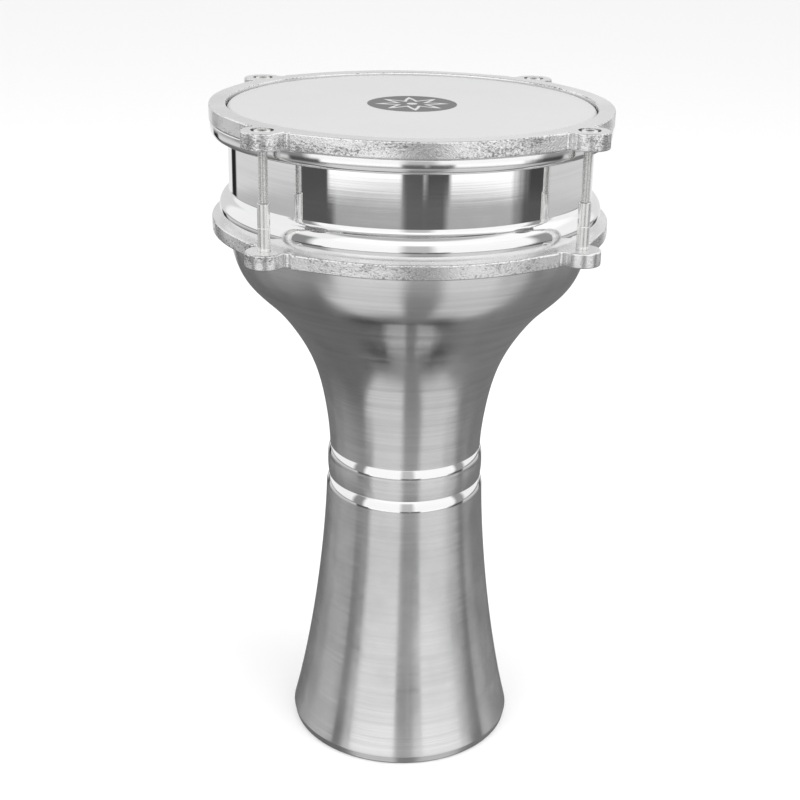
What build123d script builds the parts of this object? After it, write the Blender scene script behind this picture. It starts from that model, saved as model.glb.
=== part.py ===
from build123d import *
import math
import os

os.makedirs("parts", exist_ok=True)

# A goblet drum (darbuka): a polished aluminium shell in three turned pieces, a drumhead on its
# bearing edge, and two cast rings with ears that four socket screws pull together.
# Millimetres. +Z is up the drum's axis and the origin is the middle of the foot's underside.

# ---- driving dimensions: shell ----
overall_height = 386.6

foot_radius = 67.7            # widest place of the foot, just above the rim
foot_height = 165.2           # underside of the foot to the seat of the neck collar
foot_wall = 3.0
rim_height = 5.0              # height of the widest place above the floor
rim_rounding = 1.5
rim_inset = 0.7               # the rim's underside is this much narrower than the widest place
flare_drop = 11.9             # the foot's curve: how far its lower handle leans in
flare_lower_handle = 47.0     # and how far up it reaches
flare_upper_handle = 43.5     # reach of the upper handle down the stem
flare_lean = 1.3              # and how far it leans out
flare_stations = [0.9, 0.72, 0.5, 0.3, 0.14, 0]   # where the foot's inside is set out

neck_radius = 46.2            # outside of the collar
stem_step = 0.7               # the foot below its bead is this much wider
groove_depth = 1.3            # groove above each bead, into the collar's radius
bead_height = 6.8             # sloped polished shoulder below each groove
bead_bulge = 13.5             # radius of that shoulder's curve
bead_undercut = 0.5           # the bead ends this far inside the bowl's or collar's lower edge
collar_height = 19.2
collar_tuck = 0.65            # the collar is this much narrower at its lower edge
collar_lean = 0.16            # and this much below its bead
collar_crest = 0.4            # height of its widest place, as a share of its height
spigot_step = 1.6             # the bowl's spigot is this far inside the groove
spigot_wall = 2.0
spigot_reach = 15.0           # how far the spigot goes into the foot
socket_relief = 2.0           # room left below the spigot
spigot_throat = 4.0           # the spigot's bore starts this far below the collar's top

bowl_radius = 101.9           # outside, under the lower ring
band_step = 0.9               # the band between the rings is this much narrower
bowl_wall = 3.0
bowl_places = [               # the bowl's outline: share of its swell, share of its rise
    (0.047, 0.18),
    (0.175, 0.38),
    (0.415, 0.553),
    (0.592, 0.64),
    (0.862, 0.755),
    (0.960, 0.85),
]
bowl_start = (0.03, 1)        # its direction at the groove
bowl_end = (0.01, 1)          # and under the lower ring
bowl_stations = [1, 0.9, 0.78, 0.62, 0.48, 0.33, 0.15, 0]   # where its inside is set out
band_wall = 3.5
shoulder_reach = 5.5          # bead that the lower ring pulls against, outside the band
shoulder_height = 5.0         # height of its widest place above the lower ring
shoulder_tuck = 1.5           # it curves in by this much down to the ring
shoulder_slope = 7.6          # height of its convex top
shoulder_blend = 3.0          # height of the hollow between the bead and the band
shoulder_dome = 0.72          # share of the bead's reach that its convex top takes

crown_step = 0.3              # the shell narrows where the drumhead comes down around it
crown_taper = 5.0
taper_drop = 0.5              # the taper starts this far below the drumhead's channel
bearing_rounding = 2.0
bearing_land = 1.5            # flat width on which the drumhead rests

# ---- driving dimensions: rings ----
hoop_width = 9.2
hoop_thickness = 9.0
hoop_gap = 0.5                # radial, hoop around the drumhead
lower_ring_width = 6.7
lower_ring_thickness = 8.0
ring_fit = 2.1                # radial, lower ring around the bowl
ring_spacing = 52.4           # clear height between the two rings
ring_edge_rounding = 0.9

screw_overhang = 4.6          # screw axis outside the hoop's rim
hoop_ear_radius = 11.0
lower_ear_radius = 10.0
horn_rise = 1.6               # cast corner beside each ear, outside the hoop's rim
horn_offset = 15.0            # and sideways from the ear's middle
scallop_share = 0.54          # radius of the hollow there, of the space from ear to horn
ear_root = 8.0                # the ear's straight sides run this far in, past the hollows

# ---- driving dimensions: screws and tube nuts ----
screw_diameter = 5.0          # nominal, M5
thread_play = 0.05            # radial, on the screw and again in the nut
screw_length = 45.0
head_diameter = 8.5
head_height = 5.0
head_rounding = 0.5
screw_point = 0.6             # chamfer on its lower end
hex_socket = 4.0              # across flats
hex_depth = 2.6
washer_diameter = 10.0
washer_thickness = 1.0
counterbore_play = 0.85       # radial, around the washer and the head
hole_clearance = 0.3          # radial, screw in the hoop's ear and in the washer
sleeve_wall = 0.7             # tube nut
sleeve_chamfer = 0.25         # on both edges of its mouth
thread_window = 27.6          # bare thread between the hoop and the tube nut
flange_reach = 1.5            # tube nut's flange outside its sleeve
flange_thickness = 2.6
sleeve_clearance = 0.1        # radial, tube nut in the lower ring's ear

# ---- driving dimensions: drumhead ----
film_thickness = 0.3
film_recess = 1.3             # playing surface below the top of the hoop
film_gap = 0.3                # radial, film outside the crown
film_corner = 2.45            # centre-line radius where the film turns down
film_turn_out = 1.4           # centre-line radius where it turns out under the hoop
skirt_inset = 1.3             # film's edge in the potting, from the channel's inner wall
skirt_depth = 3.0             # film below the top of the potting
channel_width = 7.2
channel_height = 7.8
channel_wall = 1.2
channel_clearance = 2.2       # radial, channel around the band
channel_step = 0.6            # the inner wall stops this far below the hoop, for the film
channel_corner = 1.2          # chamfer inside the channel
channel_rounding = 3.6        # outer lower edge
channel_lip_rounding = 0.8    # outer upper edge

# ---- radii that follow ----
stem_radius = neck_radius + stem_step
groove_radius = neck_radius - groove_depth
bead_top_radius = groove_radius - bead_undercut
spigot_radius = groove_radius - spigot_step
band_radius = bowl_radius - band_step
shoulder_radius = band_radius + shoulder_reach
crown_radius = band_radius - crown_step
film_outer_radius = crown_radius + film_gap + film_thickness
hoop_inner_radius = film_outer_radius + hoop_gap
hoop_outer_radius = hoop_inner_radius + hoop_width
lower_ring_inner_radius = bowl_radius + ring_fit
lower_ring_outer_radius = lower_ring_inner_radius + lower_ring_width
channel_inner_radius = band_radius + channel_clearance
channel_outer_radius = channel_inner_radius + channel_width
screw_circle_radius = hoop_outer_radius + screw_overhang
horn_radius = hoop_outer_radius + horn_rise
thread_radius = screw_diameter / 2 - thread_play
nut_bore_radius = screw_diameter / 2
sleeve_radius = nut_bore_radius + sleeve_wall
flange_radius = sleeve_radius + flange_reach

# ---- heights that follow ----
hoop_bottom = overall_height - hoop_thickness
lower_ring_top = hoop_bottom - ring_spacing
lower_ring_bottom = lower_ring_top - lower_ring_thickness
collar_top = foot_height + collar_height
shoulder_top = lower_ring_top + shoulder_height + shoulder_slope + shoulder_blend
bearing_height = overall_height - film_recess - film_thickness
channel_bottom = hoop_bottom - channel_height
crown_bottom = channel_bottom - taper_drop
potting_top = hoop_bottom - channel_step
sleeve_top = hoop_bottom - thread_window
screw_seat = overall_height - head_height
washer_bottom = screw_seat - washer_thickness

lug_names = ["front_right", "back_right", "back_left", "front_left"]
lug_count = len(lug_names)
lug_angles = [-45 + index * 360 / lug_count for index in range(lug_count)]


def beside(curve, position, distance):
    """Point to the left of a curve, at a distance square to it."""
    tangent = curve % position
    return curve @ position + Vector(-tangent.Y, tangent.X) * distance


def inner_curve(curve, wall, stations):
    """Smooth curve one wall thickness inside an outer curve that runs upwards."""
    return Spline([beside(curve, station, wall) for station in stations])


def at_lug(angle, height):
    """Plane on a screw's axis, X pointing away from the drum's axis."""
    direction = Vector(math.cos(math.radians(angle)), math.sin(math.radians(angle)))
    origin = direction * screw_circle_radius + Vector(0, 0, height)
    return Plane(origin=origin, x_dir=direction, z_dir=(0, 0, 1))


def save(part, name):
    part.label = name
    export_step(part, f"parts/{name}.step")


# ---- foot: flared stem, open below ----
with BuildPart() as foot_shell:
    with BuildSketch(Plane.XZ):
        with BuildLine():
            flare_top = foot_height - bead_height
            flare = Bezier(
                (foot_radius, rim_height),
                (foot_radius - flare_drop, rim_height + flare_lower_handle),
                (stem_radius + flare_lean, flare_top - flare_upper_handle),
                (stem_radius, flare_top),
            )
            bead = RadiusArc(flare @ 1, (bead_top_radius, foot_height), bead_bulge)
            inside = inner_curve(flare, foot_wall, flare_stations)
            Polyline(
                bead @ 1,
                (spigot_radius, foot_height),
                (spigot_radius, foot_height - spigot_reach - socket_relief),
                inside @ 0,
            )
            Polyline(
                inside @ 1,
                (foot_radius - foot_wall - rim_inset, 0),
                (foot_radius - rim_inset, 0),
                flare @ 0,
            )
        make_face()
    revolve(axis=Axis.Z)
    rim_edge = foot_shell.edges().filter_by(GeomType.CIRCLE).group_by(Axis.Z)[0]
    fillet(rim_edge.sort_by(SortBy.RADIUS)[-1], rim_rounding)
save(foot_shell.part, "foot_shell")

# ---- collar between the foot and the bowl ----
with BuildPart() as neck_collar:
    with BuildSketch(Plane.XZ):
        with BuildLine():
            outside = ThreePointArc(
                (neck_radius - collar_tuck, foot_height),
                (neck_radius, foot_height + collar_crest * collar_height),
                (neck_radius - collar_lean, collar_top - bead_height),
            )
            bead = RadiusArc(outside @ 1, (bead_top_radius, collar_top), bead_bulge)
            Polyline(
                bead @ 1,
                (spigot_radius, collar_top),
                (spigot_radius, foot_height),
                outside @ 0,
            )
        make_face()
    revolve(axis=Axis.Z)
save(neck_collar.part, "neck_collar")

# ---- bowl, shoulder, band and bearing edge in one turned piece ----
with BuildPart() as bowl_shell:
    with BuildSketch(Plane.XZ):
        with BuildLine():
            rise = lower_ring_top - collar_top
            swell = bowl_radius - groove_radius
            outline = [
                (groove_radius + out * swell, collar_top + up * rise) for out, up in bowl_places
            ]
            bowl = Spline(
                (groove_radius, collar_top),
                *outline,
                (bowl_radius, lower_ring_top),
                tangents=(bowl_start, bowl_end),
            )
            seat = Line(bowl @ 1, (shoulder_radius - shoulder_tuck, lower_ring_top))
            widest = (shoulder_radius, lower_ring_top + shoulder_height)
            TangentArc(widest, seat @ 1, tangent=(0, -1))
            drop = shoulder_reach * shoulder_dome
            shoulder = TangentArc(
                widest,
                (shoulder_radius - drop, shoulder_top - shoulder_blend),
                tangent=(0, 1),
            )
            TangentArc(shoulder @ 1, (band_radius, shoulder_top), tangent=shoulder % 1)
            crown = Polyline(
                (band_radius, shoulder_top),
                (band_radius, crown_bottom),
                (crown_radius, crown_bottom + crown_taper),
                (crown_radius, bearing_height - bearing_rounding),
            )
            edge = TangentArc(
                crown @ 1,
                (crown_radius - bearing_rounding, bearing_height),
                tangent=(0, 1),
            )
            lining = inner_curve(bowl, bowl_wall, bowl_stations)
            Polyline(
                edge @ 1,
                (crown_radius - bearing_rounding - bearing_land, bearing_height),
                (crown_radius - band_wall, crown_bottom + crown_taper),
                (band_radius - band_wall, crown_bottom),
                (band_radius - band_wall, shoulder_top),
                lining @ 0,
            )
            Polyline(
                lining @ 1,
                (spigot_radius - spigot_wall, collar_top - spigot_throat),
                (spigot_radius - spigot_wall, foot_height - spigot_reach),
                (spigot_radius, foot_height - spigot_reach),
                (spigot_radius, collar_top),
                (groove_radius, collar_top),
            )
        make_face()
    revolve(axis=Axis.Z)
save(bowl_shell.part, "bowl_shell")


def cast_ring(outer_radius, inner_radius, ear_radius, bottom, thickness):
    """Flat ring with an ear, a horn and a scallop on each side of it at every screw."""
    horn_reach = math.sqrt(horn_radius**2 - horn_offset**2)
    ramp_angle = math.asin(horn_offset / horn_radius) + math.acos(outer_radius / horn_radius)
    ramp = (outer_radius * math.cos(ramp_angle), outer_radius * math.sin(ramp_angle))
    scallop_radius = scallop_share * (horn_offset - ear_radius)
    scallop_offset = ear_radius + scallop_radius
    scallop_drop = math.sqrt(scallop_radius**2 - (horn_offset - scallop_offset) ** 2)
    with BuildPart() as blank:
        with BuildSketch(Plane.XY.offset(bottom)):
            Circle(outer_radius)
            with PolarLocations(0, lug_count, start_angle=lug_angles[0]):
                Polygon(
                    (ramp[0], ramp[1]),
                    (inner_radius, 0),
                    (ramp[0], -ramp[1]),
                    (horn_reach, -horn_offset),
                    (horn_reach, horn_offset),
                    align=None,
                )
            with PolarLocations(0, lug_count, start_angle=lug_angles[0]):
                with Locations((screw_circle_radius, 0)):
                    Circle(ear_radius)
                    Rectangle(2 * scallop_radius + ear_root, 2 * ear_radius, align=(Align.MAX, Align.CENTER))
            with PolarLocations(0, lug_count, start_angle=lug_angles[0]):
                with Locations(
                    (horn_reach + scallop_drop, scallop_offset),
                    (horn_reach + scallop_drop, -scallop_offset),
                ):
                    Circle(scallop_radius, mode=Mode.SUBTRACT)
            Circle(inner_radius, mode=Mode.SUBTRACT)
        extrude(amount=thickness)
    return blank.part


# ---- tension hoop: upper cast ring, counterbored for the screw heads ----
with BuildPart() as tension_hoop:
    add(cast_ring(hoop_outer_radius, hoop_inner_radius, hoop_ear_radius, hoop_bottom, hoop_thickness))
    rims = tension_hoop.faces().filter_by(Axis.Z).edges()
    fillet(rims, ring_edge_rounding)
    for angle in lug_angles:
        with Locations(at_lug(angle, overall_height)):
            CounterBoreHole(
                radius=thread_radius + hole_clearance,
                counter_bore_radius=washer_diameter / 2 + counterbore_play,
                counter_bore_depth=head_height + washer_thickness,
                depth=hoop_thickness,
            )
save(tension_hoop.part, "tension_hoop")

# ---- lower ring: pulls up under the shoulder, its ears hold the tube nuts ----
with BuildPart() as lower_ring:
    add(
        cast_ring(
            lower_ring_outer_radius,
            lower_ring_inner_radius,
            lower_ear_radius,
            lower_ring_bottom,
            lower_ring_thickness,
        )
    )
    rims = lower_ring.faces().filter_by(Axis.Z).edges()
    fillet(rims, ring_edge_rounding)
    for angle in lug_angles:
        with Locations(at_lug(angle, lower_ring_bottom).rotated((180, 0, 0))):
            CounterBoreHole(
                radius=sleeve_radius + sleeve_clearance,
                counter_bore_radius=flange_radius + sleeve_clearance,
                counter_bore_depth=flange_thickness,
                depth=lower_ring_thickness,
            )
save(lower_ring.part, "lower_ring")

# ---- drumhead: plastic film, its aluminium channel and the potting that holds the film ----
film_level = bearing_height + film_thickness / 2
collar_radius = film_outer_radius - film_thickness / 2
skirt_radius = channel_inner_radius + channel_wall + skirt_inset
skirt_level = potting_top + film_thickness / 2
with BuildPart() as drumhead_film:
    with BuildSketch(Plane.XZ):
        with BuildLine():
            FilletPolyline(
                (0, film_level),
                (collar_radius, film_level),
                (collar_radius, skirt_level),
                (skirt_radius, skirt_level),
                (skirt_radius, potting_top - skirt_depth),
                radius=[film_corner, film_turn_out, film_thickness],
            )
        trace(line_width=film_thickness)
    revolve(axis=Axis.Z)
save(drumhead_film.part, "drumhead_film")

with BuildPart() as head_channel:
    with BuildSketch(Plane.XZ):
        with BuildLine():
            Polyline(
                (channel_inner_radius, potting_top),
                (channel_inner_radius, channel_bottom),
                (channel_outer_radius, channel_bottom),
                (channel_outer_radius, hoop_bottom),
                (channel_outer_radius - channel_wall, hoop_bottom),
                (channel_outer_radius - channel_wall, channel_bottom + channel_wall + channel_corner),
                (channel_outer_radius - channel_wall - channel_corner, channel_bottom + channel_wall),
                (channel_inner_radius + channel_wall, channel_bottom + channel_wall),
                (channel_inner_radius + channel_wall, potting_top),
                close=True,
            )
        make_face()
    revolve(axis=Axis.Z)
    circles = head_channel.edges().filter_by(GeomType.CIRCLE)
    lower_edge, upper_edge = circles.group_by(SortBy.RADIUS)[-1].sort_by(Axis.Z)
    fillet(lower_edge, channel_rounding)
    fillet(upper_edge, channel_lip_rounding)
save(head_channel.part, "head_channel")

with BuildPart() as head_potting:
    with BuildSketch(Plane.XZ):
        with BuildLine():
            Polyline(
                (channel_inner_radius + channel_wall, potting_top),
                (channel_inner_radius + channel_wall, channel_bottom + channel_wall),
                (channel_outer_radius - channel_wall - channel_corner, channel_bottom + channel_wall),
                (channel_outer_radius - channel_wall, channel_bottom + channel_wall + channel_corner),
                (channel_outer_radius - channel_wall, potting_top),
                close=True,
            )
        make_face()
    revolve(axis=Axis.Z)
    add(drumhead_film.part, mode=Mode.SUBTRACT)
save(head_potting.part, "head_potting")

# ---- screws, washers and tube nuts, one of each at every lug ----
for name, angle in zip(lug_names, lug_angles):
    with BuildPart(at_lug(angle, screw_seat)) as screw:
        Cylinder(thread_radius, screw_length, align=(Align.CENTER, Align.CENTER, Align.MAX))
        chamfer(screw.edges().group_by(Axis.Z)[0], screw_point)
        Cylinder(head_diameter / 2, head_height, align=(Align.CENTER, Align.CENTER, Align.MIN))
        fillet(screw.edges().group_by(Axis.Z)[-1], head_rounding)
        with BuildSketch(at_lug(angle, overall_height)):
            RegularPolygon(hex_socket / 2, 6, major_radius=False)
        extrude(amount=-hex_depth, mode=Mode.SUBTRACT)
    save(screw.part, f"tension_screw_{name}")

    with BuildPart(at_lug(angle, washer_bottom)) as washer:
        Cylinder(washer_diameter / 2, washer_thickness, align=(Align.CENTER, Align.CENTER, Align.MIN))
        Hole(thread_radius + hole_clearance)
    save(washer.part, f"washer_{name}")

    with BuildPart(at_lug(angle, lower_ring_bottom)) as tube_nut:
        Cylinder(
            sleeve_radius,
            sleeve_top - lower_ring_bottom,
            align=(Align.CENTER, Align.CENTER, Align.MIN),
        )
        Cylinder(flange_radius, flange_thickness, align=(Align.CENTER, Align.CENTER, Align.MIN))
        Hole(nut_bore_radius)
        chamfer(tube_nut.edges().filter_by(GeomType.CIRCLE).group_by(Axis.Z)[-1], sleeve_chamfer)
    save(tube_nut.part, f"tube_nut_{name}")
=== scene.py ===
import math

import bpy
import numpy as np
from mathutils import Matrix, Vector


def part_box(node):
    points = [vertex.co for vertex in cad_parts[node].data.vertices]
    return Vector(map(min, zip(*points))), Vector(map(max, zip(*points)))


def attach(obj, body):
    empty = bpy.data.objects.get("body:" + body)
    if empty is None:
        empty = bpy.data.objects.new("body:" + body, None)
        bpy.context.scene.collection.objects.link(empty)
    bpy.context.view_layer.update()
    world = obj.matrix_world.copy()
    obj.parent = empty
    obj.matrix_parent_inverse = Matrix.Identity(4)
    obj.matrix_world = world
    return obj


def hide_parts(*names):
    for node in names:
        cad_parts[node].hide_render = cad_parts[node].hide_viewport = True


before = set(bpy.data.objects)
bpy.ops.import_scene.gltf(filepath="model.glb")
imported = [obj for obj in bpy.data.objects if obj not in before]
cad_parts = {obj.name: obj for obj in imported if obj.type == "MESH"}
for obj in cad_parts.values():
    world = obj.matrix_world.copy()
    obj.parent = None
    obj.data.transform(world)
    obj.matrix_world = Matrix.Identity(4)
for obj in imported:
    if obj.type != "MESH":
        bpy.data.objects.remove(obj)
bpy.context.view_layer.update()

MM = 0.001
TURN = 256                    # segments round every turned piece
LUGS = ("front_right", "back_right", "back_left", "front_left")


# ---------------------------------------------------------------- sizes, in mm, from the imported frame
def lowest(name):
    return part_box(name)[0] / MM


def highest(name):
    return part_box(name)[1] / MM


def lug_axis(lug):
    middle = (lowest("tension_screw_" + lug) + highest("tension_screw_" + lug)) / 2
    return middle.x, middle.y


TOP = highest("tension_hoop").z
HOOP_BOTTOM = lowest("tension_hoop").z
LOWER_TOP = highest("lower_ring").z
FOOT_TOP = highest("foot_shell").z
FOOT_RADIUS = highest("foot_shell").x
COLLAR_TOP = highest("neck_collar").z
NECK_RADIUS = highest("neck_collar").x
BEARING = highest("bowl_shell").z
SPIGOT_BOTTOM = lowest("bowl_shell").z
SHOULDER_RADIUS = highest("bowl_shell").x
CHANNEL_BOTTOM = lowest("head_channel").z
CHANNEL_RADIUS = highest("head_channel").x
FILM_TOP = highest("drumhead_film").z
FILM_BOTTOM = lowest("drumhead_film").z
FILM_RADIUS = highest("drumhead_film").x
SCREW_BOTTOM = lowest("tension_screw_front_right").z
NUT_BOTTOM = lowest("tube_nut_front_right").z
NUT_TOP = highest("tube_nut_front_right").z

# ---------------------------------------------------------------- sizes inside the boxes, as in the part
RIM_HEIGHT = 5.0              # widest place of the foot
RIM_INSET = 0.7               # the rim's underside is this much narrower
RIM_ROUNDING = 1.5
RIM_ARC_END = -0.14           # radians, where the rounding meets the rim's side
FLARE_DROP = 11.9             # how far the flare's lower handle leans in
FLARE_LOWER_HANDLE = 47.0
FLARE_UPPER_HANDLE = 43.5
FLARE_LEAN = 1.3              # how far its upper handle leans out
STEM_STEP = 0.7               # the foot below its bead is this much wider than the collar
SHELL_WALL = 3.0
BAND_WALL = 3.5

GROOVE_DEPTH = 1.3
BEAD_HEIGHT = 6.8             # polished shoulder below each groove
BEAD_BULGE = 13.5             # radius of its curve
BEAD_UNDERCUT = 0.5
COLLAR_TUCK = 0.65            # the collar is this much narrower at its lower edge
COLLAR_LEAN = 0.16            # and this much below its bead
COLLAR_CREST = 7.7            # height of its widest place
SPIGOT_STEP = 1.6             # the bowl's spigot is this far inside the groove
SPIGOT_WALL = 2.0
SPIGOT_THROAT = 4.0           # its bore starts this far below the collar's top
SOCKET_RELIEF = 2.0           # room left below the spigot
SOCKET_SLOPE = 2.0            # height in which the socket's step reaches the foot's wall

BAND_STEP = 0.9               # the band between the rings is this much narrower than the bowl
BOWL_PLACES = ((0, 0), (0.047, 0.18), (0.175, 0.38), (0.415, 0.553), (0.592, 0.64), (0.862, 0.755),
               (0.96, 0.85), (1, 1))      # share of the bowl's swell, share of its rise
SHOULDER_REACH = 5.5          # bead above the lower ring, outside the band
SHOULDER_HEIGHT = 5.0         # height of its widest place above the ring
SHOULDER_TUCK = 1.5           # it curves in by this much down to the ring
SHOULDER_SLOPE = 7.6          # height of its convex top
SHOULDER_BLEND = 3.0          # height of the hollow between it and the band
SHOULDER_DOME = 0.72          # share of its reach that the convex top takes
CROWN_STEP = 0.3              # the shell narrows where the drumhead comes down around it
CROWN_TAPER = 5.0
TAPER_DROP = 0.5              # the taper starts this far below the channel
BEARING_ROUNDING = 2.0
BEARING_LAND = 1.5            # flat width on which the drumhead rests

CHANNEL_CLEARANCE = 2.2       # radial, channel around the band
CHANNEL_STEP = 0.6            # its inner wall stops this far below the hoop
CHANNEL_WALL = 1.2
CHANNEL_CORNER = 1.2          # chamfer inside it
CHANNEL_ROUNDING = 3.6        # outer lower edge
CHANNEL_LIP = 0.8             # outer upper edge
FILM = 0.3                    # thickness
FILM_GAP = 0.3                # radial, film outside the crown
FILM_CORNER = 2.6             # outer radius where it turns down
FILM_TURN_OUT = 1.25          # inner radius where it turns out under the hoop
FILM_EDGE = 0.45              # outer radius where it turns down in the potting
FILM_EDGE_DROP = 0.2          # its underside's last bend, below the top of the potting
MOTIF_RADIUS = 24.7
PRINT_LIFT = 0.02             # ink above the film

THREAD = 0.8                  # pitch
THREAD_ROOT = 2.0             # radius
THREAD_DEPTH = 0.45
SCREW_TIP = 1.9               # radius of the screw's flat end
SCREW_POINT = 0.6             # the thread starts this far above it
HEAD_RADIUS = 4.25
HEAD_HEIGHT = 5.0
KNURL = 0.07                  # depth of the grooves round the head's upper edge
SOCKET_MOUTH = 2.75           # radius where the socket's bevel starts
SOCKET_FLAT = 2.0             # half of the socket's width across flats
SOCKET_BEVEL = 0.3
SOCKET_DEPTH = 2.6
NUT_BORE = 2.5                # radii of the tube nut
NUT_SLEEVE = 3.2
NUT_FLANGE = 4.7
NUT_FLANGE_HEIGHT = 2.6
NUT_FLANGE_BEVEL = 0.3
NUT_CHAMFER = 0.25            # on both edges of its mouth

# ---------------------------------------------------------------- radii and heights that follow
BAND_RADIUS = SHOULDER_RADIUS - SHOULDER_REACH
BAND_INSIDE = BAND_RADIUS - BAND_WALL
BOWL_RADIUS = BAND_RADIUS + BAND_STEP
STEM_RADIUS = NECK_RADIUS + STEM_STEP
GROOVE_RADIUS = NECK_RADIUS - GROOVE_DEPTH
BEAD_TOP = GROOVE_RADIUS - BEAD_UNDERCUT
SPIGOT_RADIUS = GROOVE_RADIUS - SPIGOT_STEP
SPIGOT_INSIDE = SPIGOT_RADIUS - SPIGOT_WALL
SPIGOT_MOUTH = COLLAR_TOP - SPIGOT_THROAT
SOCKET_BOTTOM = SPIGOT_BOTTOM - SOCKET_RELIEF
RIM_MIDDLE = FOOT_RADIUS - RIM_INSET - RIM_ROUNDING
RIM_INSIDE = FOOT_RADIUS - RIM_INSET - SHELL_WALL
FLARE_TOP = FOOT_TOP - BEAD_HEIGHT
SHOULDER_WIDEST = LOWER_TOP + SHOULDER_HEIGHT
DOME_TOP = SHOULDER_WIDEST + SHOULDER_SLOPE
SHOULDER_TOP = DOME_TOP + SHOULDER_BLEND
CROWN_BOTTOM = CHANNEL_BOTTOM - TAPER_DROP
CROWN_START = CROWN_BOTTOM + CROWN_TAPER
CROWN_RADIUS = BAND_RADIUS - CROWN_STEP
CROWN_INSIDE = CROWN_RADIUS - BEARING_ROUNDING - BEARING_LAND
CHANNEL_INSIDE = BAND_RADIUS + CHANNEL_CLEARANCE
POTTING_TOP = HOOP_BOTTOM - CHANNEL_STEP
FILM_SKIRT = CROWN_RADIUS + FILM_GAP + FILM


# ---------------------------------------------------------------- curves of the turned profiles
def line(a, b, step=3.0):
    count = max(2, int(math.dist(a, b) / step) + 1)
    return [tuple(np.array(a) + (np.array(b) - np.array(a)) * t) for t in np.linspace(0, 1, count)]


def arc_about(centre, radius, start, end, count=12):
    return [(centre[0] + radius * math.cos(t), centre[1] + radius * math.sin(t))
            for t in np.linspace(start, end, count)]


def tangent_arc(a, direction, b, count=14):
    """Arc that leaves a along direction and ends in b."""
    a, b = np.array(a, float), np.array(b, float)
    d = np.array(direction, float) / np.linalg.norm(direction)
    n = np.array([-d[1], d[0]])
    chord = b - a
    radius = chord @ chord / (2 * (chord @ n))
    centre = a + n * radius
    start = math.atan2(*(a - centre)[::-1])
    sweep = 2 * math.atan2(chord @ n, chord @ d)
    return arc_about(centre, abs(radius), start, start + sweep, count)


def bulging_arc(a, b, radius, count=14):
    """Arc of a given radius from a up to b, bulging away from the axis."""
    a, b = np.array(a, float), np.array(b, float)
    half = np.linalg.norm(b - a) / 2
    along = (b - a) / (2 * half)
    centre = (a + b) / 2 - np.array([along[1], -along[0]]) * math.sqrt(radius ** 2 - half ** 2)
    return arc_about(centre, radius, math.atan2(*(a - centre)[::-1]),
                     math.atan2(*(b - centre)[::-1]), count)


def bezier(a, b, c, d, count=48):
    a, b, c, d = (np.array(p, float) for p in (a, b, c, d))
    return [tuple((1 - t) ** 3 * a + 3 * t * (1 - t) ** 2 * b + 3 * t * t * (1 - t) * c + t ** 3 * d)
            for t in np.linspace(0, 1, count)]


def smooth_curve(points, first, last, count=72):
    """Cubic curve through the points with given end directions."""
    p = np.array(points, float)
    h = np.linalg.norm(np.diff(p, axis=0), axis=1)
    n = len(p)
    a, rhs = np.zeros((n, n)), np.zeros((n, 2))
    a[0, 0] = a[-1, -1] = 1
    rhs[0] = np.array(first) / np.linalg.norm(first)
    rhs[-1] = np.array(last) / np.linalg.norm(last)
    for i in range(1, n - 1):
        a[i, i - 1:i + 2] = h[i], 2 * (h[i - 1] + h[i]), h[i - 1]
        rhs[i] = 3 * (h[i] / h[i - 1] * (p[i] - p[i - 1]) + h[i - 1] / h[i] * (p[i + 1] - p[i]))
    slopes = np.linalg.solve(a, rhs)
    at = np.concatenate([[0], np.cumsum(h)])
    result = []
    for s in np.linspace(0, at[-1], count):
        i = min(int(np.searchsorted(at, s, side="right")) - 1, n - 2)
        t = (s - at[i]) / h[i]
        behind = (2 * t ** 3 - 3 * t ** 2 + 1) * p[i] + (t ** 3 - 2 * t ** 2 + t) * h[i] * slopes[i]
        ahead = (3 * t ** 2 - 2 * t ** 3) * p[i + 1] + (t ** 3 - t ** 2) * h[i] * slopes[i + 1]
        result.append(tuple(behind + ahead))
    return result


def inside_of(curve, wall):
    """The same curve one wall thickness further in, run the other way."""
    p = np.array(curve, float)
    t = np.gradient(p, axis=0)
    t /= np.linalg.norm(t, axis=1)[:, None]
    return [tuple(q) for q in (p + np.stack([-t[:, 1], t[:, 0]], 1) * wall)[::-1]]


# ---------------------------------------------------------------- meshes
def make(name, vertices, faces, materials, indices=None, sharp=()):
    mesh = bpy.data.meshes.new(name)
    mesh.from_pydata(vertices, [], faces)
    for material in materials:
        mesh.materials.append(material)
    if indices is not None:
        mesh.polygons.foreach_set("material_index", indices)
    mesh.polygons.foreach_set("use_smooth", [True] * len(mesh.polygons))
    if len(sharp):
        wanted = {tuple(sorted(e)) for e in sharp}
        for edge in mesh.edges:
            if tuple(sorted(edge.vertices)) in wanted:
                edge.use_edge_sharp = True
    mesh.update()
    obj = bpy.data.objects.new(name, mesh)
    bpy.context.scene.collection.objects.link(obj)
    return obj


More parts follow.
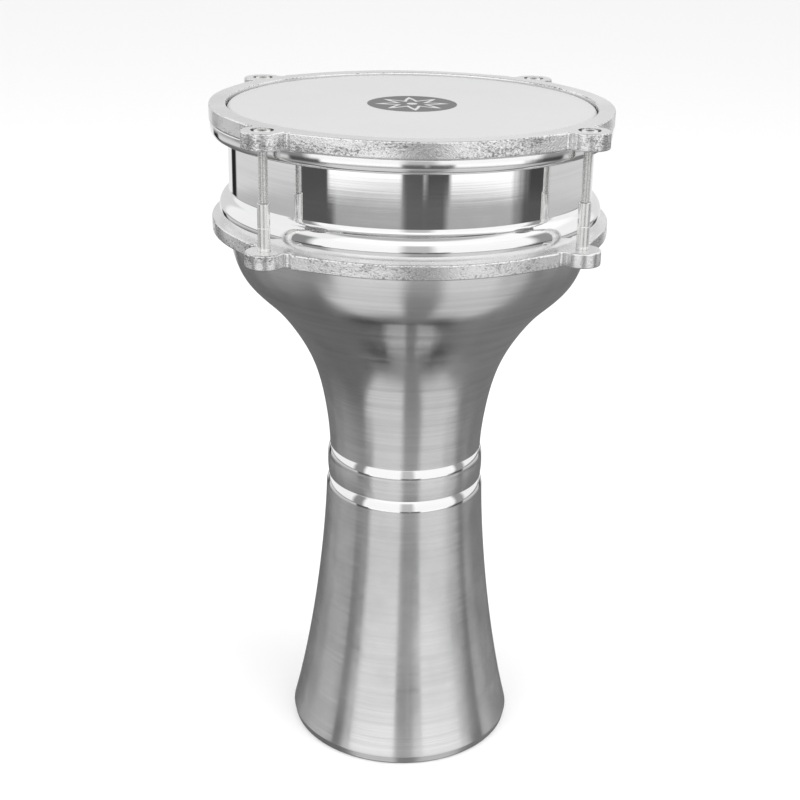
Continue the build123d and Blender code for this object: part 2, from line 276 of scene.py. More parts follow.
def turned(name, runs, materials, centre=(0, 0), segments=TURN, closed=True):
    """Turned piece. Each run is (material number, [(radius, height), ...]) in mm and starts where the
    last one ended. Where two runs meet the edge is hard."""
    profile, kinds, hard = [], [], []
    for kind, points in runs:
        for point in points:
            if profile and math.dist(point, profile[-1]) < 1e-4:
                continue
            if profile:
                kinds.append(kind)
            profile.append(point)
        hard.append(len(profile) - 1)
    if closed:
        if math.dist(profile[0], profile[-1]) < 1e-4:
            profile.pop()
            hard[-1] = 0
        else:
            kinds.append(runs[-1][0])
    vertices, rings = [], []
    for radius, height in profile:
        if radius < 1e-6:
            rings.append([len(vertices)] * segments)
            vertices.append((centre[0] * MM, centre[1] * MM, height * MM))
            continue
        rings.append(list(range(len(vertices), len(vertices) + segments)))
        vertices += [((centre[0] + radius * math.cos(2 * math.pi * k / segments)) * MM,
                      (centre[1] + radius * math.sin(2 * math.pi * k / segments)) * MM,
                      height * MM) for k in range(segments)]
    faces, indices, sharp = [], [], []
    count = len(profile)
    for i in range(count if closed else count - 1):
        here, above = rings[i], rings[(i + 1) % count]
        for k in range(segments):
            m = (k + 1) % segments
            face = [here[k], here[m], above[m], above[k]]
            face = [v for j, v in enumerate(face) if v not in face[:j]]
            faces.append(face)
            indices.append(kinds[i])
    for i in hard:
        ring = rings[i % count]
        if ring[0] != ring[-1]:
            sharp += [(ring[k], ring[(k + 1) % segments]) for k in range(segments)]
    return make(name, vertices, faces, materials, indices, sharp)


# ---------------------------------------------------------------- materials
def new_material(name):
    material = bpy.data.materials.new(name)
    material.use_nodes = True
    tree = material.node_tree
    return material, tree, tree.nodes["Principled BSDF"]


def node(tree, kind, **settings):
    made = tree.nodes.new(kind)
    for key, value in settings.items():
        setattr(made, key, value)
    return made


def stretched_noise(tree, source, scale, detail=3.0, roughness=0.55):
    """Noise in the piece's own space. scale is per metre along x, y and z."""
    mapping = node(tree, "ShaderNodeMapping")
    mapping.inputs["Scale"].default_value = scale
    tree.links.new(source.outputs["Object"], mapping.inputs["Vector"])
    made = node(tree, "ShaderNodeTexNoise")
    made.inputs["Scale"].default_value = 1.0
    made.inputs["Detail"].default_value = detail
    made.inputs["Roughness"].default_value = roughness
    tree.links.new(mapping.outputs["Vector"], made.inputs["Vector"])
    return made.outputs["Fac"]


def ranged(tree, value, low, high, to_low, to_high):
    made = node(tree, "ShaderNodeMapRange")
    for name, number in (("From Min", low), ("From Max", high), ("To Min", to_low), ("To Max", to_high)):
        made.inputs[name].default_value = number
    tree.links.new(value, made.inputs["Value"])
    return made.outputs["Result"]


def maths(tree, operation, *values):
    made = node(tree, "ShaderNodeMath", operation=operation)
    for socket, value in zip(made.inputs, values):
        if isinstance(value, (int, float)):
            socket.default_value = value
        else:
            tree.links.new(value, socket)
    return made.outputs[0]


def blended(tree, factor, a, b):
    made = node(tree, "ShaderNodeMix", data_type="RGBA")
    tree.links.new(factor, made.inputs["Factor"])
    for name, value in (("A", a), ("B", b)):
        socket = [s for s in made.inputs if s.name == name and s.type == "RGBA"][0]
        if isinstance(value, tuple):
            socket.default_value = (*value, 1)
        else:
            tree.links.new(value, socket)
    return [s for s in made.outputs if s.type == "RGBA"][0]


def bumped(tree, height, shader, strength, distance, before=None):
    made = node(tree, "ShaderNodeBump")
    made.inputs["Strength"].default_value = strength
    made.inputs["Distance"].default_value = distance
    tree.links.new(height, made.inputs["Height"])
    if before is not None:
        tree.links.new(before.outputs["Normal"], made.inputs["Normal"])
    tree.links.new(made.outputs["Normal"], shader.inputs["Normal"])
    return made


def turned_metal(name, light, dark, smooth, rough, spread, line_depth, streak_depth, band_depth=0.0,
                 smudge=0.06):
    """Aluminium finished on a lathe: brush lines run round the axis, so highlights spread along it."""
    material, tree, shader = new_material(name)
    source = node(tree, "ShaderNodeTexCoord")
    lines = stretched_noise(tree, source, (9, 9, 2600), 4.0, 0.7)
    bands = stretched_noise(tree, source, (5, 5, 260), 3.0, 0.6)
    patches = stretched_noise(tree, source, (32, 32, 20), 3.0, 0.55)
    brushed = maths(tree, "MULTIPLY_ADD", lines, 0.6, ranged(tree, bands, 0.3, 0.7, 0.0, 0.4))
    shade = maths(tree, "ADD", ranged(tree, brushed, 0.3, 0.7, 0.0, 0.6),
                  ranged(tree, patches, 0.3, 0.7, 0.0, 0.4))
    tree.links.new(blended(tree, shade, dark, light), shader.inputs["Base Color"])
    finish = maths(tree, "ADD", ranged(tree, brushed, 0.2, 0.8, rough, smooth),
                   ranged(tree, patches, 0.35, 0.7, -smudge / 2, smudge))
    tree.links.new(finish, shader.inputs["Roughness"])
    shader.inputs["Metallic"].default_value = 1.0
    shader.inputs["Anisotropic"].default_value = spread
    shader.inputs["Anisotropic Rotation"].default_value = 0.25
    tangent = node(tree, "ShaderNodeTangent", direction_type="RADIAL", axis="Z")
    tree.links.new(tangent.outputs["Tangent"], shader.inputs["Tangent"])
    streaks = stretched_noise(tree, source, (7, 7, 950), 3.0, 0.65)
    fine = bumped(tree, lines, shader, 0.5, line_depth)
    coarse = bumped(tree, streaks, shader, 0.5, streak_depth, fine)
    if band_depth:
        bumped(tree, bands, shader, 0.5, band_depth, coarse)
    return material


def cast_metal(name):
    """Rings as cast: pitted and specked on their outer sides, ground smooth on their flat faces and bore."""
    material, tree, shader = new_material(name)
    source = node(tree, "ShaderNodeTexCoord")
    specks = stretched_noise(tree, source, (760, 760, 1250), 3.0, 0.7)
    lumps = stretched_noise(tree, source, (170, 170, 240), 3.0, 0.6)
    patches = stretched_noise(tree, source, (26, 26, 90), 3.0, 0.6)
    wide = stretched_noise(tree, source, (30, 30, 30), 2.0, 0.5)
    geometry = node(tree, "ShaderNodeNewGeometry")
    split = node(tree, "ShaderNodeSeparateXYZ")
    tree.links.new(geometry.outputs["Normal"], split.inputs[0])
    upright = maths(tree, "ABSOLUTE", split.outputs["Z"])
    outward = node(tree, "ShaderNodeVectorMath", operation="DOT_PRODUCT")
    tree.links.new(geometry.outputs["Normal"], outward.inputs[0])
    tree.links.new(source.outputs["Object"], outward.inputs[1])
    inner_wall = ranged(tree, outward.outputs["Value"], -0.02, 0.02, 1.0, 0.0)
    flat = maths(tree, "MAXIMUM", ranged(tree, upright, 0.75, 0.95, 0.0, 1.0), inner_wall)
    # more specks where the patches run low
    level = maths(tree, "ADD", specks, ranged(tree, patches, 0.38, 0.62, -0.03, 0.18))
    rough_colour = blended(tree, ranged(tree, level, 0.38, 0.58, 0.0, 1.0),
                           (0.30, 0.30, 0.30), (0.93, 0.93, 0.93))
    flat_colour = blended(tree, ranged(tree, wide, 0.3, 0.7, 0.0, 1.0),
                          (0.84, 0.84, 0.84), (0.93, 0.93, 0.93))
    tree.links.new(blended(tree, flat, rough_colour, flat_colour), shader.inputs["Base Color"])
    mix = node(tree, "ShaderNodeMix")
    tree.links.new(flat, mix.inputs[0])
    tree.links.new(ranged(tree, level, 0.38, 0.62, 0.42, 0.17), mix.inputs[2])
    tree.links.new(ranged(tree, lumps, 0.3, 0.7, 0.24, 0.34), mix.inputs[3])
    tree.links.new(mix.outputs[0], shader.inputs["Roughness"])
    shader.inputs["Metallic"].default_value = 1.0
    share = ranged(tree, flat, 0.0, 1.0, 1.0, 0.04)
    relief = maths(tree, "MULTIPLY", maths(tree, "ADD", specks, lumps), share)
    bumped(tree, relief, shader, 0.7, 0.00013)
    return material


def plain_metal(name, light, dark, smooth, rough, grain, depth):
    material, tree, shader = new_material(name)
    source = node(tree, "ShaderNodeTexCoord")
    grains = stretched_noise(tree, source, (grain, grain, grain), 4.0, 0.65)
    shade = ranged(tree, grains, 0.3, 0.7, 0.0, 1.0)
    tree.links.new(blended(tree, shade, dark, light), shader.inputs["Base Color"])
    tree.links.new(ranged(tree, grains, 0.3, 0.7, rough, smooth), shader.inputs["Roughness"])
    shader.inputs["Metallic"].default_value = 1.0
    bumped(tree, grains, shader, 0.5, depth)
    return material


def film_plastic(name, light, dark):
    material, tree, shader = new_material(name)
    source = node(tree, "ShaderNodeTexCoord")
    frost = stretched_noise(tree, source, (2200, 2200, 2200), 2.0, 0.6)
    cloud = stretched_noise(tree, source, (14, 14, 14), 3.0, 0.5)
    shade = ranged(tree, cloud, 0.3, 0.7, 0.0, 1.0)
    tree.links.new(blended(tree, shade, dark, light), shader.inputs["Base Color"])
    tree.links.new(ranged(tree, cloud, 0.3, 0.7, 0.42, 0.34), shader.inputs["Roughness"])
    shader.inputs["Specular IOR Level"].default_value = 0.4
    bumped(tree, frost, shader, 0.3, 0.00003)
    return material


satin = turned_metal("satin_turned_aluminium", (0.90, 0.90, 0.90), (0.70, 0.70, 0.705),
                     smooth=0.13, rough=0.24, spread=0.9, line_depth=0.000006, streak_depth=0.000012)
mirror = turned_metal("polished_aluminium", (0.93, 0.93, 0.93), (0.87, 0.87, 0.875),
                      smooth=0.04, rough=0.10, spread=0.6, line_depth=0.000001, streak_depth=0.000003,
                      smudge=0.02)
band_finish = turned_metal("fine_brushed_aluminium", (0.94, 0.94, 0.94), (0.84, 0.84, 0.845),
                           smooth=0.025, rough=0.06, spread=0.8, line_depth=0.0000012,
                           streak_depth=0.000006, smudge=0.015)
lathe_cut = turned_metal("inside_lathe_cut_aluminium", (0.70, 0.70, 0.70), (0.50, 0.50, 0.505),
                         smooth=0.42, rough=0.60, spread=0.6, line_depth=0.00003, streak_depth=0.00006,
                         band_depth=0.0001)
cast = cast_metal("cast_aluminium")
nickel = plain_metal("nickel_plate", (0.97, 0.97, 0.96), (0.88, 0.88, 0.87), 0.24, 0.36, 500, 0.00001)
steel = plain_metal("zinc_plated_steel", (0.90, 0.90, 0.89), (0.68, 0.68, 0.67), 0.16, 0.30, 900, 0.00002)
# a darker steel put only inside the screws' sockets and the nuts' mouths and bores: painted shade in these
# recesses
recess_shade_steel = plain_metal("steel_with_painted_recess_shade", (0.52, 0.52, 0.52), (0.34, 0.34, 0.34), 0.35, 0.5, 900, 0.00003)
film_white = film_plastic("frosted_film", (0.55, 0.55, 0.55), (0.53, 0.53, 0.535))
ink = film_plastic("printed_ink", (0.095, 0.095, 0.10), (0.075, 0.075, 0.08))
resin = film_plastic("potting_resin", (0.42, 0.40, 0.34), (0.33, 0.31, 0.26))

# ---------------------------------------------------------------- foot
flare = bezier((FOOT_RADIUS, RIM_HEIGHT), (FOOT_RADIUS - FLARE_DROP, RIM_HEIGHT + FLARE_LOWER_HANDLE),
               (STEM_RADIUS + FLARE_LEAN, FLARE_TOP - FLARE_UPPER_HANDLE), (STEM_RADIUS, FLARE_TOP))
foot_inside = [p for p in inside_of(flare, SHELL_WALL) if p[1] < SOCKET_BOTTOM - SOCKET_SLOPE]
foot = turned("foot_looks", [
    (0, [(RIM_MIDDLE, 0)]
     + arc_about((RIM_MIDDLE, RIM_ROUNDING), RIM_ROUNDING, -math.pi / 2, RIM_ARC_END, 8)
     + [(FOOT_RADIUS, RIM_HEIGHT)]),
    (0, flare),
    (1, bulging_arc(flare[-1], (BEAD_TOP, FOOT_TOP), BEAD_BULGE)),
    (1, line((BEAD_TOP, FOOT_TOP), (SPIGOT_RADIUS, FOOT_TOP))),
    (2, line((SPIGOT_RADIUS, FOOT_TOP), (SPIGOT_RADIUS, SOCKET_BOTTOM))),
    (2, [(SPIGOT_RADIUS, SOCKET_BOTTOM), foot_inside[0]]),
    (2, foot_inside),
    (2, [foot_inside[-1], (RIM_INSIDE, 0)]),
    (2, [(RIM_INSIDE, 0), (RIM_MIDDLE, 0)]),
], [satin, mirror, lathe_cut])
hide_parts("foot_shell")
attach(foot, "shell")

# ---------------------------------------------------------------- collar between the beads
collar_outside = smooth_curve(
    [(NECK_RADIUS - COLLAR_TUCK, FOOT_TOP), (NECK_RADIUS, FOOT_TOP + COLLAR_CREST),
     (NECK_RADIUS - COLLAR_LEAN, COLLAR_TOP - BEAD_HEIGHT)], (0.15, 1), (-0.06, 1), 12)
collar = turned("collar_looks", [
    (0, collar_outside),
    (1, bulging_arc(collar_outside[-1], (BEAD_TOP, COLLAR_TOP), BEAD_BULGE)),
    (1, line((BEAD_TOP, COLLAR_TOP), (SPIGOT_RADIUS, COLLAR_TOP))),
    (1, line((SPIGOT_RADIUS, COLLAR_TOP), (SPIGOT_RADIUS, FOOT_TOP))),
    (1, [(SPIGOT_RADIUS, FOOT_TOP), collar_outside[0]]),
], [satin, mirror])
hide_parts("neck_collar")
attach(collar, "shell")

# ---------------------------------------------------------------- bowl, shoulder, band and crown
swell = BOWL_RADIUS - GROOVE_RADIUS
rise = LOWER_TOP - COLLAR_TOP
bowl_curve = smooth_curve([(GROOVE_RADIUS + swell * a, COLLAR_TOP + rise * b) for a, b in BOWL_PLACES],
                          (0.03, 1), (0.01, 1))
bowl_inside = [p for p in inside_of(bowl_curve, SHELL_WALL) if p[1] > COLLAR_TOP]
shoulder_seat = (SHOULDER_RADIUS - SHOULDER_TUCK, LOWER_TOP)
widest = (SHOULDER_RADIUS, SHOULDER_WIDEST)
dome_end = (SHOULDER_RADIUS - SHOULDER_DOME * SHOULDER_REACH, DOME_TOP)
shoulder_tuck = tangent_arc(widest, (0, -1), shoulder_seat, 10)[::-1]
shoulder_dome = tangent_arc(widest, (0, 1), dome_end)
leaving = np.array(shoulder_dome[-1]) - np.array(shoulder_dome[-2])
shoulder_hollow = tangent_arc(shoulder_dome[-1], leaving, (BAND_RADIUS, SHOULDER_TOP), 8)
bowl = turned("bowl_looks", [
    (0, bowl_curve),
    (0, [(BOWL_RADIUS, LOWER_TOP), shoulder_seat]),
    (1, shoulder_tuck + shoulder_dome + shoulder_hollow),
    (2, line((BAND_RADIUS, SHOULDER_TOP), (BAND_RADIUS, CROWN_BOTTOM))),
    (1, line((BAND_RADIUS, CROWN_BOTTOM), (CROWN_RADIUS, CROWN_START))),
    (1, line((CROWN_RADIUS, CROWN_START), (CROWN_RADIUS, BEARING - BEARING_ROUNDING))
     + arc_about((CROWN_RADIUS - BEARING_ROUNDING, BEARING - BEARING_ROUNDING), BEARING_ROUNDING,
                 0, math.pi / 2, 8)),
    (1, [(CROWN_RADIUS - BEARING_ROUNDING, BEARING), (CROWN_INSIDE, BEARING)]),
    (3, line((CROWN_INSIDE, BEARING), (CROWN_INSIDE, CROWN_START))),
    (3, line((CROWN_INSIDE, CROWN_START), (BAND_INSIDE, CROWN_BOTTOM))),
    (3, line((BAND_INSIDE, CROWN_BOTTOM), (BAND_INSIDE, SHOULDER_TOP))),
    (3, [(BAND_INSIDE, SHOULDER_TOP), bowl_inside[0]]),
    (3, bowl_inside),
    (3, [bowl_inside[-1], (SPIGOT_INSIDE, SPIGOT_MOUTH)]),
    (3, line((SPIGOT_INSIDE, SPIGOT_MOUTH), (SPIGOT_INSIDE, SPIGOT_BOTTOM))),
    (3, [(SPIGOT_INSIDE, SPIGOT_BOTTOM), (SPIGOT_RADIUS, SPIGOT_BOTTOM)]),
    (1, line((SPIGOT_RADIUS, SPIGOT_BOTTOM), (SPIGOT_RADIUS, COLLAR_TOP))),
    (1, [(SPIGOT_RADIUS, COLLAR_TOP), (GROOVE_RADIUS, COLLAR_TOP)]),
], [satin, mirror, band_finish, lathe_cut])
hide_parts("bowl_shell")
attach(bowl, "shell")

# ---------------------------------------------------------------- drumhead: channel, film and its print
channel_floor = CHANNEL_BOTTOM + CHANNEL_WALL
outer_wall = CHANNEL_RADIUS - CHANNEL_WALL
inner_wall = CHANNEL_INSIDE + CHANNEL_WALL
channel = turned("channel_looks", [
    (0, line((CHANNEL_INSIDE, POTTING_TOP), (CHANNEL_INSIDE, CHANNEL_BOTTOM))),
    (0, [(CHANNEL_INSIDE, CHANNEL_BOTTOM)]
     + arc_about((CHANNEL_RADIUS - CHANNEL_ROUNDING, CHANNEL_BOTTOM + CHANNEL_ROUNDING), CHANNEL_ROUNDING,
                 -math.pi / 2, 0, 18)
     + arc_about((CHANNEL_RADIUS - CHANNEL_LIP, HOOP_BOTTOM - CHANNEL_LIP), CHANNEL_LIP, 0, math.pi / 2, 8)
     + [(outer_wall, HOOP_BOTTOM)]),
    (0, line((outer_wall, HOOP_BOTTOM), (outer_wall, channel_floor + CHANNEL_CORNER))),
    (0, [(outer_wall, channel_floor + CHANNEL_CORNER), (outer_wall - CHANNEL_CORNER, channel_floor)]),
    (0, [(outer_wall - CHANNEL_CORNER, channel_floor), (inner_wall, channel_floor)]),
    (0, [(inner_wall, channel_floor), (inner_wall, POTTING_TOP)]),
    (0, [(inner_wall, POTTING_TOP), (CHANNEL_INSIDE, POTTING_TOP)]),
], [mirror])
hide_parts("head_channel")
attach(channel, "hoop")

corner = (FILM_SKIRT - FILM_CORNER, FILM_TOP - FILM_CORNER)
turn_out = (FILM_SKIRT + FILM_TURN_OUT, POTTING_TOP + FILM + FILM_TURN_OUT)
edge = (FILM_RADIUS - FILM_EDGE, POTTING_TOP + FILM - FILM_EDGE)
film_over = ([(FILM_SKIRT * share, FILM_TOP) for share in (0, 0.3, 0.6, 0.85)]
             + arc_about(corner, FILM_CORNER, math.pi / 2, 0, 12)
             + arc_about(turn_out, FILM_TURN_OUT, math.pi, 1.5 * math.pi, 8)
             + [(FILM_RADIUS - 2 * FILM, POTTING_TOP + FILM)]
             + arc_about(edge, FILM_EDGE, math.pi / 2, 0, 5)
             + [(FILM_RADIUS, FILM_BOTTOM)])
film_under = ([(FILM_SKIRT * share, FILM_TOP - FILM) for share in (0, 0.85)]
              + arc_about(corner, FILM_CORNER - FILM, math.pi / 2, 0, 12)
              + arc_about(turn_out, FILM_TURN_OUT + FILM, math.pi, 1.5 * math.pi, 8)
              + [(FILM_RADIUS - 2 * FILM, POTTING_TOP), (FILM_RADIUS - FILM, POTTING_TOP - FILM_EDGE_DROP),
                 (FILM_RADIUS - FILM, FILM_BOTTOM)])
film = turned("film_looks", [(0, film_over), (0, [film_over[-1], film_under[-1]]), (0, film_under[::-1])],
              [film_white], closed=False)
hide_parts("drumhead_film")
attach(film, "hoop")


def motif(name, radius, height, material):
    """Printed disc with the outline of an eight-pointed star and a round dot left clear in it."""
    steps, points, hollow = 192, 8, 1.6

    def star(tip, valley):
        shares = [abs(k * points / steps % 1 * 2 - 1) ** hollow for k in range(steps)]
        return [radius * (valley + (tip - valley) * share) for share in shares]

    circle, dot = [radius] * steps, [radius * 0.12] * steps
    vertices, faces = [], []
    for outer, inner in ((circle, star(0.84, 0.40)), (star(0.62, 0.27), dot)):
        first = len(vertices)
        second = first + steps
        for loop in (outer, inner):
            vertices += [(r * math.cos(2 * math.pi * k / steps) * MM,
                          r * math.sin(2 * math.pi * k / steps) * MM, height * MM)
                         for k, r in enumerate(loop)]
        faces += [(first + k, first + (k + 1) % steps, second + (k + 1) % steps, second + k)
                  for k in range(steps)]
    return make(name, vertices, faces, [material])


print_disc = motif("printed_motif", MOTIF_RADIUS, FILM_TOP + PRINT_LIFT, ink)
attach(print_disc, "hoop")


# ---------------------------------------------------------------- screws and tube nuts
def screw(lug):
    """Socket screw with a rolled right-hand thread over its whole length."""
    x, y = lug_axis(lug)
    seat = TOP - HEAD_HEIGHT
    start = SCREW_BOTTOM + SCREW_POINT
    around, rows_a_turn = 40, 12
    rows = int((seat - start) / THREAD * rows_a_turn)
    vertices, faces, indices, sharp = [], [], [], []

    def ring(radii, height):
        if not isinstance(radii, list):
            radii = [radii] * around
        first = len(vertices)
        for k, radius in enumerate(radii):
            angle = 2 * math.pi * k / around
            vertices.append(((x + radius * math.cos(angle)) * MM, (y + radius * math.sin(angle)) * MM,
                             height * MM))
        return first

    def join(below, above, kind):
        for k in range(around):
            m = (k + 1) % around
            faces.append((below + k, below + m, above + m, above + k))
            indices.append(kind)

    def harden(first):
        sharp.extend((first + k, first + (k + 1) % around) for k in range(around))

    def thread_radius(z, k):
        """Trapezoidal thread that fades out at the tip and under the head."""
        phase = ((z - start) / THREAD - k / around) % 1
        crest = min(1.0, max(0.0, 1.35 - abs(phase * 2 - 1) * 1.9))
        fade = min(1.0, (z - SCREW_BOTTOM) / 1.2) * min(1.0, (seat - z) / 0.8 + 0.3)
        return THREAD_ROOT + THREAD_DEPTH * crest * fade

    def hexagon(flat):
        return [flat / math.cos((2 * math.pi * k / around + math.pi / 6) % (math.pi / 3) - math.pi / 6)
                for k in range(around)]

    middle = ring(0.01, SCREW_BOTTOM)
    previous = ring(SCREW_TIP, SCREW_BOTTOM)
    join(middle, previous, 0)
    harden(previous)
    for i in range(rows + 1):
        z = start + (seat - start) * i / rows
        here = ring([thread_radius(z, k) for k in range(around)], z)
        join(previous, here, 0)
        previous = here
    harden(previous)
    knurled = [HEAD_RADIUS - (KNURL if k % 2 else 0.0) for k in range(around)]
    # the socket (kind 2) takes the darker steel: painted shade inside the socket
    for radii, z, kind, hard in (
            (HEAD_RADIUS - 0.3, seat, 1, True),
            (HEAD_RADIUS, seat + 0.3, 1, True),
            (knurled, TOP - 0.6, 1, False),
            (HEAD_RADIUS - 0.25, TOP - 0.15, 1, False),
            (HEAD_RADIUS - 0.7, TOP, 1, True),
            (SOCKET_MOUTH, TOP, 1, True),
            (hexagon(SOCKET_FLAT + SOCKET_BEVEL), TOP - 0.05, 1, False),
            (hexagon(SOCKET_FLAT), TOP - 0.5, 2, True),
            (hexagon(SOCKET_FLAT), TOP - SOCKET_DEPTH, 2, True),
            (0.01, TOP - SOCKET_DEPTH - 0.7, 2, False)):
        here = ring(radii, z)
        join(previous, here, kind)
        if hard:
            harden(here)
        previous = here
    made = make("screw_looks_" + lug, vertices, faces, [steel, nickel, recess_shade_steel], indices, sharp)
    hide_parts("tension_screw_" + lug)
    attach(made, "screw_" + lug)


def tube_nut(lug):
    """Plated tube nut: sleeve with two turned grooves, chamfered mouth, flange under the ear."""
    flange_top = NUT_BOTTOM + NUT_FLANGE_HEIGHT

    def groove(z, depth, floor):
        return [(NUT_SLEEVE, z - 0.35), (NUT_SLEEVE - depth, z - floor), (NUT_SLEEVE - depth, z + floor),
                (NUT_SLEEVE, z + 0.35)]

    low_groove = groove(LOWER_TOP + 1.55, 0.12, 0.2)
    mid_groove = groove((NUT_TOP + LOWER_TOP) / 2, 0.18, 0.15)
    runs = [
        (0, line((NUT_FLANGE, NUT_BOTTOM + NUT_FLANGE_BEVEL),
                 (NUT_FLANGE, flange_top - NUT_FLANGE_BEVEL), 1)),
        (0, [(NUT_FLANGE, flange_top - NUT_FLANGE_BEVEL), (NUT_FLANGE - NUT_FLANGE_BEVEL, flange_top),
             (NUT_SLEEVE, flange_top)]),
        (0, line((NUT_SLEEVE, flange_top), low_groove[0], 2)),
        (0, low_groove),
        (0, line(low_groove[-1], mid_groove[0], 2)),
        (0, mid_groove),
        (0, line(mid_groove[-1], (NUT_SLEEVE, NUT_TOP - NUT_CHAMFER), 2)),
        (0, [(NUT_SLEEVE, NUT_TOP - NUT_CHAMFER), (NUT_SLEEVE - NUT_CHAMFER, NUT_TOP)]),
        (0, [(NUT_SLEEVE - NUT_CHAMFER, NUT_TOP), (NUT_BORE + NUT_CHAMFER, NUT_TOP)]),
        # the mouth's chamfer and the bore take the darker steel: painted shade where the screw enters the
        # nut
        (1, [(NUT_BORE + NUT_CHAMFER, NUT_TOP), (NUT_BORE, NUT_TOP - NUT_CHAMFER)]),
        (1, line((NUT_BORE, NUT_TOP - NUT_CHAMFER), (NUT_BORE, NUT_BOTTOM), 2)),
        (0, [(NUT_BORE, NUT_BOTTOM), (NUT_FLANGE - NUT_FLANGE_BEVEL, NUT_BOTTOM)]),
        (0, [(NUT_FLANGE - NUT_FLANGE_BEVEL, NUT_BOTTOM), (NUT_FLANGE, NUT_BOTTOM + NUT_FLANGE_BEVEL)]),
    ]
    made = turned("nut_looks_" + lug, runs, [nickel, recess_shade_steel], lug_axis(lug), 64)
    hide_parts("tube_nut_" + lug)
    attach(made, "shell")


for lug_name in LUGS:
    screw(lug_name)
    tube_nut(lug_name)


def paint(name, material):
    """Gives a piece that keeps its CAD mesh its material."""
    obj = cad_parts[name]
    obj.data.materials.clear()
    obj.data.materials.append(material)


paint("tension_hoop", cast)
paint("lower_ring", cast)
paint("head_potting", resin)
for lug_name in LUGS:
    paint("washer_" + lug_name, steel)

# ---------------------------------------------------------------- studio: floor, surroundings, camera
FACING = math.radians(-5.6)   # azimuth of the camera, from the front

# What the metal reflects, a made-up room: (azimuth from the camera's side, brightness from there on),
# from the table right under the drum, over the table further off and its far edge, to the walls and the
# ceiling. The brightness was set until the reflections looked like the photo's.
BENEATH = [(-180, 0.05), (-60, 0.22), (60, 0.05)]
UNDERFOOT = [(-180, 0.15), (-66, 0.68), (-4, 0.24), (26, 0.62), (84, 0.20)]
TABLE = [(-180, 0.16), (-128, 0.24), (-108, 0.33), (-50, 0.70), (-2, 0.40), (22, 0.70), (62, 0.52),
         (86, 0.26), (112, 0.20)]
TABLE_EDGE = [(-180, 0.85), (-151, 0.02), (-140, 0.50), (-71, 0.10), (-47, 0.38), (-4, 0.13), (22, 0.42),
              (66, 0.24), (72, 0.10), (93.5, 0.55), (140, 0.08), (151, 0.85)]
WALLS = [(-180, 0.85), (-151, 0.02), (-140, 0.70), (-71, 0.08), (-51, 1.20), (-5, 0.10), (8, 0.45),
         (9.5, 0.08), (24, 1.20), (65, 0.75), (69, 0.40), (73, 0.16), (77, 0.06), (93.5, 0.66),
         (140, 0.08), (151, 0.85)]
FAR_WALLS = [(-180, 0.72), (-140, 0.40), (-116, 0.26), (-59, 1.05), (-4, 0.55), (14, 1.05), (76, 0.32),
             (104, 0.24), (140, 0.78)]
UPPER_WALLS = [(-180, 0.72), (-140, 0.95), (-77, 0.28), (-59, 1.05), (-4, 0.55), (14, 1.05), (78, 0.32),
               (95, 0.95), (140, 0.78)]
TOP_LIGHT = [(-180, 0.95), (-71, 0.95), (-50, 1.15), (24, 1.10), (140, 0.9)]
CEILING = [(-180, 0.45), (-71, 0.40), (-50, 0.48), (24, 0.48)]
# zones above BENEATH: stops, softness of their steps in degrees, heights between which each fades in
ZONES = (
    (UNDERFOOT, 4.0, -0.97, -0.91),
    (TABLE, 4.0, -0.72, -0.52),
    (TABLE_EDGE, 2.0, -0.34, -0.27),
    (WALLS, 1.0, -0.2335, -0.2265),
    (FAR_WALLS, 3.0, -0.19, -0.16),
    (UPPER_WALLS, 3.0, -0.13, -0.09),
    (TOP_LIGHT, 4.0, 0.44, 0.56),
    (CEILING, 4.0, 0.82, 0.89),
)


def studio_surroundings():
    """The made-up room, which only reflections see. The camera and diffuse light see plain white."""
    world = bpy.data.worlds.new("studio")
    world.use_nodes = True
    bpy.context.scene.world = world
    tree = world.node_tree
    background = tree.nodes["Background"]
    source = node(tree, "ShaderNodeTexCoord")
    turn = node(tree, "ShaderNodeMapping", vector_type="POINT")
    turn.inputs["Rotation"].default_value = (0, 0, -FACING)
    tree.links.new(source.outputs["Generated"], turn.inputs["Vector"])
    split = node(tree, "ShaderNodeSeparateXYZ")
    tree.links.new(turn.outputs["Vector"], split.inputs[0])
    back = maths(tree, "MULTIPLY", split.outputs["Y"], -1.0)
    angle = maths(tree, "ARCTAN2", split.outputs["X"], back)
    share = ranged(tree, angle, -math.pi, math.pi, 0.0, 1.0)

    def ramp(stops, soft):
        made = node(tree, "ShaderNodeValToRGB")
        elements = made.color_ramp.elements
        elements[0].position = 0
        elements[0].color = (*[stops[0][1]] * 3, 1)
        elements[1].position = 1
        elements[1].color = (*[stops[-1][1]] * 3, 1)
        for (_, before), (degrees, value) in zip(stops, stops[1:]):
            for offset, level in ((-soft, before), (soft, value)):
                element = elements.new((degrees + offset + 180) / 360)
                element.color = (level, level, level, 1)
        tree.links.new(share, made.inputs["Fac"])
        return made.outputs["Color"]

    height = split.outputs["Z"]
    whole = ramp(BENEATH, 6.0)
    for stops, soft, low, high in ZONES:
        whole = blended(tree, ranged(tree, height, low, high, 0.0, 1.0), whole, ramp(stops, soft))
    path = node(tree, "ShaderNodeLightPath")
    plain = maths(tree, "MAXIMUM", path.outputs["Is Camera Ray"], path.outputs["Is Diffuse Ray"])
    seen = blended(tree, plain, whole, (1.0, 1.0, 1.0))
    tree.links.new(seen, background.inputs["Color"])
    background.inputs["Strength"].default_value = 1.0


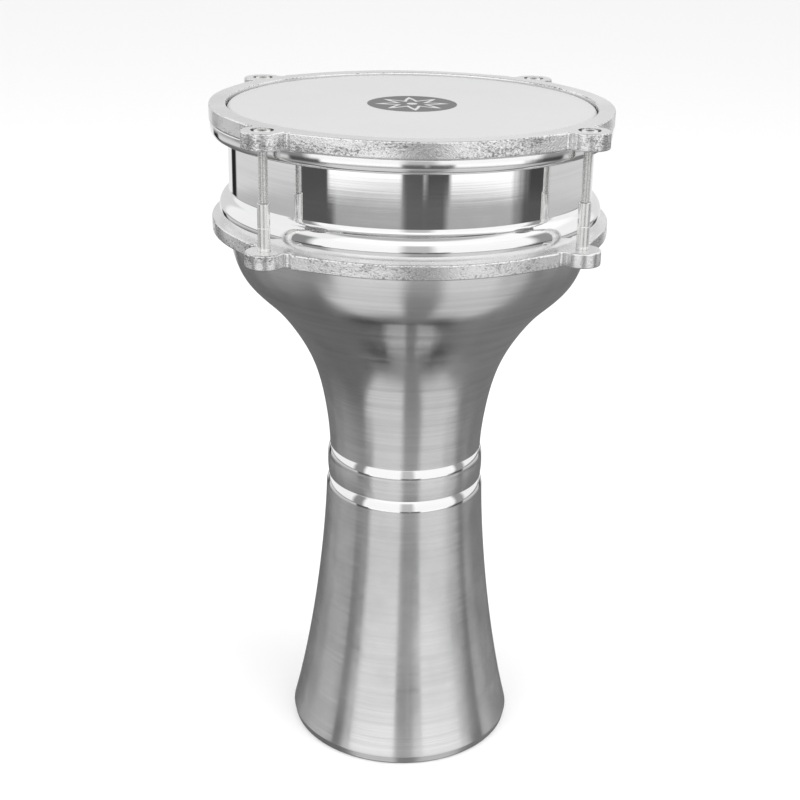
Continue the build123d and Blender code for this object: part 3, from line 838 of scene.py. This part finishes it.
def pale_floor():
    half = 9.0
    corners = [(-half, -half, 0), (half, -half, 0), (half, half, 0), (-half, half, 0)]
    obj = make("floor", corners, [(0, 1, 2, 3)], [])
    material, tree, shader = new_material("pale_floor")
    source = node(tree, "ShaderNodeTexCoord")
    grain = stretched_noise(tree, source, (40, 40, 40), 4.0, 0.5)
    tree.links.new(blended(tree, grain, (0.92, 0.92, 0.92), (0.94, 0.94, 0.94)), shader.inputs["Base Color"])
    shader.inputs["Roughness"].default_value = 0.9
    obj.data.materials.append(material)
    obj.visible_glossy = False


def soft_light(name, place, target, size, power):
    data = bpy.data.lights.new(name, "AREA")
    data.shape = "SQUARE"
    data.size = size
    data.energy = power
    obj = bpy.data.objects.new(name, data)
    bpy.context.scene.collection.objects.link(obj)
    obj.location = place
    obj.rotation_euler = (Vector(target) - Vector(place)).to_track_quat("-Z", "Y").to_euler()
    obj.visible_glossy = False


def photo_camera():
    """Camera fitted to the outlines of the rings, neck and foot in the photo."""
    data = bpy.data.cameras.new("camera")
    data.lens = 64.18
    data.sensor_width = 36.0
    data.clip_start = 0.01
    obj = bpy.data.objects.new("camera", data)
    bpy.context.scene.collection.objects.link(obj)
    away, height = 0.78807, 0.5223
    pitch, yaw, roll = math.radians(21.607), math.radians(-0.254), math.radians(1.106)
    heading = FACING - yaw
    forward = Vector((-math.sin(heading) * math.cos(pitch), math.cos(heading) * math.cos(pitch),
                      -math.sin(pitch)))
    right = forward.cross(Vector((0, 0, 1))).normalized()
    up = right.cross(forward)
    right, up = right * math.cos(roll) + up * math.sin(roll), up * math.cos(roll) - right * math.sin(roll)
    obj.matrix_world = Matrix((right, up, -forward)).transposed().to_4x4()
    obj.location = (away * math.sin(FACING), -away * math.cos(FACING), height)
    bpy.context.scene.camera = obj


studio_surroundings()
pale_floor()
soft_light("key", (0.9, -0.7, 1.8), (0, 0, 0.2), 1.4, 13)
soft_light("fill", (-1.2, -0.6, 1.6), (0, 0, 0.2), 1.4, 10)
photo_camera()
bpy.context.scene.view_settings.view_transform = "Standard"
